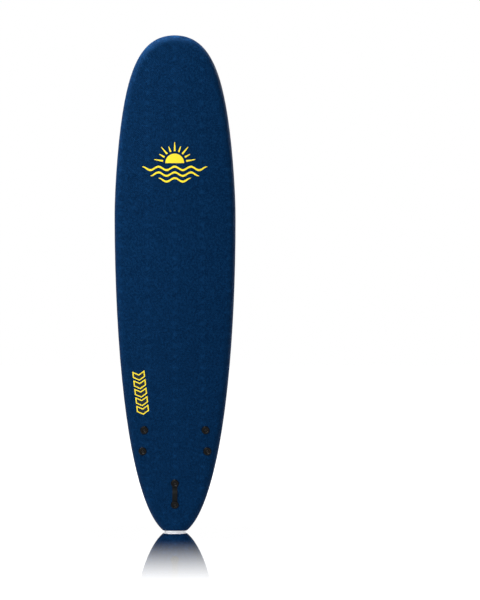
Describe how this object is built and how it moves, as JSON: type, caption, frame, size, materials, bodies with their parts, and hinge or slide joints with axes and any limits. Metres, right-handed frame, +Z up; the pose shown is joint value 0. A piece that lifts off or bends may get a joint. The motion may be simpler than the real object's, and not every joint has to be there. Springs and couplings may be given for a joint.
{
  "type": "longboard surfboard",
  "caption": "Foam-decked longboard surfboard with a squared tail, printed slick bottom, three fin boxes with clamping screws and a leash strap.",
  "frame": {"origin": "middle of the squared tail end's flat face, which the board stands on", "axes": "+Z up the board from tail to nose, the deck faces -Y, the bottom faces +Y, +X to the right as seen from the deck"},
  "size_m": [0.597, 0.163, 2.438],
  "materials": {
    "deck_foam": "closed-cell foam, embossed, matt",
    "slick": "smooth polyethylene sheet",
    "print": "printed film, striped",
    "tail_foam": "dense moulded foam",
    "core_foam": "expanded bead foam",
    "plywood": "bare plywood",
    "webbing": "woven nylon",
    "box_nylon": "glass-filled nylon",
    "plug_nylon": "moulded nylon, satin",
    "bolt_steel": "black coated stainless",
    "insert_brass": "turned",
    "screw_steel": "stainless",
    "gasket_rubber": "matt"
  },
  "bodies": {
    "board": {"deck_foam_skin": "deck_foam", "bottom_slick": "slick", "bottom_print_film": "print", "tail_block": "tail_foam", "core_left": "core_foam", "core_center": "core_foam", "core_right": "core_foam", "stringer_left": "plywood", "stringer_right": "plywood", "leash_strap": "webbing", "fin_box_left": "box_nylon", "deck_plug_left_front": "plug_nylon", "through_bolt_left_front": "bolt_steel", "brass_insert_left_front": "insert_brass", "plug_gasket_left_front": "gasket_rubber", "deck_plug_left_rear": "plug_nylon", "through_bolt_left_rear": "bolt_steel", "brass_insert_left_rear": "insert_brass", "plug_gasket_left_rear": "gasket_rubber", "fin_box_right": "box_nylon", "deck_plug_right_front": "plug_nylon", "through_bolt_right_front": "bolt_steel", "brass_insert_right_front": "insert_brass", "plug_gasket_right_front": "gasket_rubber", "deck_plug_right_rear": "plug_nylon", "through_bolt_right_rear": "bolt_steel", "brass_insert_right_rear": "insert_brass", "plug_gasket_right_rear": "gasket_rubber", "fin_box_center": "box_nylon", "deck_plug_center_front": "plug_nylon", "through_bolt_center_front": "bolt_steel", "brass_insert_center_front": "insert_brass", "deck_plug_center_rear": "plug_nylon", "through_bolt_center_rear": "bolt_steel", "brass_insert_center_rear": "insert_brass"},
    "grub_left_front": {"grub_screw_left_front": "screw_steel"},
    "grub_left_rear": {"grub_screw_left_rear": "screw_steel"},
    "grub_right_front": {"grub_screw_right_front": "screw_steel"},
    "grub_right_rear": {"grub_screw_right_rear": "screw_steel"},
    "grub_center_front": {"grub_screw_center_front": "screw_steel"},
    "grub_center_rear": {"grub_screw_center_rear": "screw_steel"}
  },
  "joints": [
    {"name": "clamp_left_front", "type": "slide", "parent": "board", "child": "grub_left_front", "axis": [-0.5716, -0.8163, 0.0824], "range_m": [0, 0.004]},
    {"name": "clamp_left_rear", "type": "slide", "parent": "board", "child": "grub_left_rear", "axis": [-0.5716, -0.8163, 0.0824], "range_m": [0, 0.004]},
    {"name": "clamp_right_front", "type": "slide", "parent": "board", "child": "grub_right_front", "axis": [0.5716, -0.8163, 0.0824], "range_m": [0, 0.004]},
    {"name": "clamp_right_rear", "type": "slide", "parent": "board", "child": "grub_right_rear", "axis": [0.5716, -0.8163, 0.0824], "range_m": [0, 0.004]},
    {"name": "clamp_center_front", "type": "slide", "parent": "board", "child": "grub_center_front", "axis": [0.5736, -0.8171, 0.0577], "range_m": [0, 0.004]},
    {"name": "clamp_center_rear", "type": "slide", "parent": "board", "child": "grub_center_rear", "axis": [0.5736, -0.8171, 0.0577], "range_m": [0, 0.004]}
  ]
}
